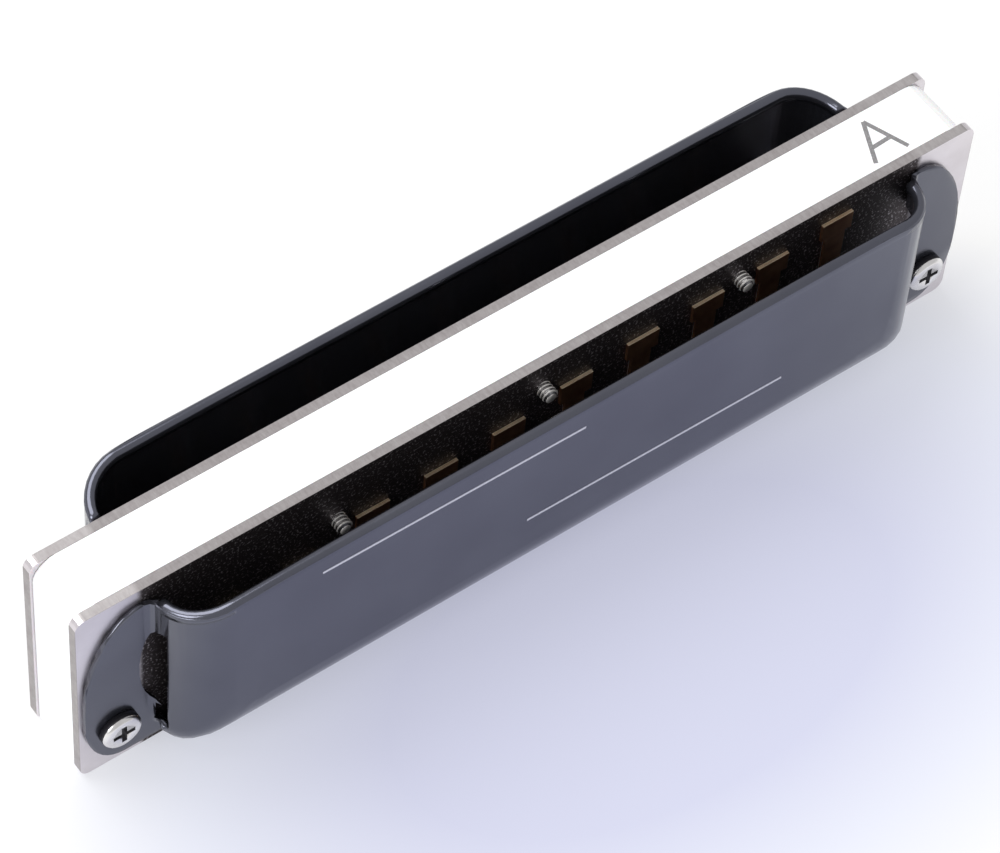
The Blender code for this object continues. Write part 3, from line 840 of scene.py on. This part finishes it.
def merged_copy(node_name, copy_name):
    """A copy of a solid's mesh, its loose triangles joined where their corners meet."""
    mesh = NODES[node_name].data.copy()
    mesh.name = copy_name
    shell = bmesh.new()
    shell.from_mesh(mesh)
    bmesh.ops.remove_doubles(shell, verts=shell.verts, dist=MERGE_DISTANCE * MM)
    shell.to_mesh(mesh)
    shell.free()
    return mesh


def shade_by_angle(mesh):
    """Smooth faces, with every edge sharper than the limit kept as an edge."""
    mesh.shade_smooth()
    mesh.set_sharp_from_angle(angle=np.radians(SHARP_DEGREES))


print("edges stay sharp above, in degrees:", SHARP_DEGREES)

# %% How the corners move
COVER_HALF_WIDTH = 42.4
COVER_FRONT_Z = 1.6
WIDE_RADIUS = 4.0
NARROW_RADIUS = 1.8
SIDE_ROUND, FRONT_ROUND = 5.2, 5.8
WALL = 0.6
STARTS_MOVING, MOVES_FULLY = 0.55, 1.5
TINY = 1e-9


def corner_stretch(a, b):
    """Seen from the wide corner's centre in the direction (a, b), how much further away the narrow corner's
    edge lies than the wide one's. With h the difference of the radii, and c and s the cosine and sine, the
    narrow arc lies at h (c + s) + root of (narrow radius squared - h squared (c - s) squared), and the
    straight walls beside it lie at the wide radius over the larger of c and s."""
    length = np.maximum(np.hypot(a, b), TINY)
    c, s = a / length, b / length
    h = WIDE_RADIUS - NARROW_RADIUS
    under_root = NARROW_RADIUS ** 2 - (h * (c - s)) ** 2
    arc = h * (c + s) + np.sqrt(np.maximum(under_root, 0))
    straight = WIDE_RADIUS / np.maximum(np.maximum(c, s), TINY)
    on_arc = (under_root > 0) & (arc * c > h) & (arc * s > h)
    return np.where(on_arc, arc, straight) / WIDE_RADIUS


def tightened(points, plate_y):
    """Moves the points of a cover away from the corner's centre at their own height above the plate. The
    walls lean in on a quarter round, by side or front round times (1 - cosine of the angle there). The move
    grows smoothly from nothing at the ears to all of it a little higher."""
    x, y, z = points.T
    rise = np.abs(y) - plate_y
    angle = np.arcsin(np.clip((rise - WALL) / SIDE_ROUND, 0, 1))
    lean = 1 - np.cos(angle)
    centre_x = COVER_HALF_WIDTH - SIDE_ROUND * lean - WIDE_RADIUS
    centre_z = COVER_FRONT_Z + FRONT_ROUND * lean + WIDE_RADIUS
    a = np.abs(x) - centre_x
    b = centre_z - z
    share = np.clip((rise - STARTS_MOVING) / (MOVES_FULLY - STARTS_MOVING), 0, 1)
    share = share * share * (3 - 2 * share)
    near_corner = (a > 0) & (b > 0)
    factor = np.where(near_corner, 1 + (corner_stretch(a, b) - 1) * share, 1.0)
    new_x = np.where(near_corner, np.sign(x) * (centre_x + a * factor), x)
    new_z = np.where(near_corner, centre_z - b * factor, z)
    return np.column_stack([new_x, y, new_z])


print("stretch along the diagonal:", round(float(corner_stretch(1.0, 1.0)), 3))

# %% Covers with tighter front corners
def tight_cover(node_name, plate_y):
    """A cover with narrow corners. Weighted normals keep its large flat faces free of bands."""
    name = node_name + "_pressed"
    mesh = merged_copy(node_name, name)
    points = np.empty(len(mesh.vertices) * 3)
    mesh.vertices.foreach_get("co", points)
    points = tightened(points.reshape(-1, 3) / MM, plate_y) * MM
    mesh.vertices.foreach_set("co", points.ravel())
    mesh.update()
    shade_by_angle(mesh)
    piece = add_piece(name, mesh, node_name)
    even = piece.modifiers.new("even_normals", "WEIGHTED_NORMAL")
    even.keep_sharp = True
    return piece


plate_outer_y = -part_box("draw_cover")[1].y / MM
covers = [tight_cover(node_name, plate_outer_y) for node_name in ("draw_cover", "blow_cover")]
print("covers:", len(covers), "with feet at, in mm from the middle:", round(plate_outer_y, 3))

# %% [markdown]
# ## Screw heads
# The face of each cover screw's head is bright steel, and painted shade darkens the rest: the side of the
# head, where a crescent of shadow lies, and the walls of the cross. Two materials on one mesh do this: on a
# merged copy of each screw, a face is bright if it looks to the draw side and lies near the top of the head.

# %% Cover screws with painted shade
BRIGHT_FACING = 0.35
BRIGHT_DEPTH = 0.35
# Painted shade: near-black steel on the side of each screw head and in its cross.
painted_shade_steel = grained_metal("screw_painted_shade", (0.045, 0.043, 0.05), 0.4)


def screw_with_painted_shade(node_name):
    """A copy of a screw, with painted shade wherever a face turns away from the draw side or lies deep in the
    cross.
    """
    name = node_name + "_painted_shade"
    mesh = merged_copy(node_name, name)
    mesh.materials.clear()
    mesh.materials.append(FINISHES["screw_steel"])
    mesh.materials.append(painted_shade_steel)
    normals = np.empty(len(mesh.polygons) * 3)
    centres = np.empty(len(mesh.polygons) * 3)
    mesh.polygons.foreach_get("normal", normals)
    mesh.polygons.foreach_get("center", centres)
    facing = -normals.reshape(-1, 3)[:, 1]
    depth = (centres.reshape(-1, 3)[:, 1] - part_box(node_name)[0].y) / MM
    dark = (facing < BRIGHT_FACING) | (depth > BRIGHT_DEPTH)
    mesh.polygons.foreach_set("material_index", dark.astype(np.int32))
    shade_by_angle(mesh)
    print(node_name, "dark faces:", int(dark.sum()), "of", len(dark))
    return add_piece(name, mesh, node_name)


screws = [screw_with_painted_shade(node_name) for node_name in ("cover_screw_left", "cover_screw_right")]
print("screws in two finishes:", len(screws))

# %% [markdown]
# ## The two boxes
# The dressed instrument may not outgrow the solids. The box of the solids, measured right after they were
# loaded, and the box of everything that now shows are kept side by side, and the size of what shows is
# printed.

# %% Keep both boxes and print the size
boxes = {"cad": CAD_BOUNDS, "visual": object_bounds()}
visual_size = (boxes["visual"][1] - boxes["visual"][0]) / MM
print("size of what shows, in mm:", [round(side, 2) for side in visual_size])
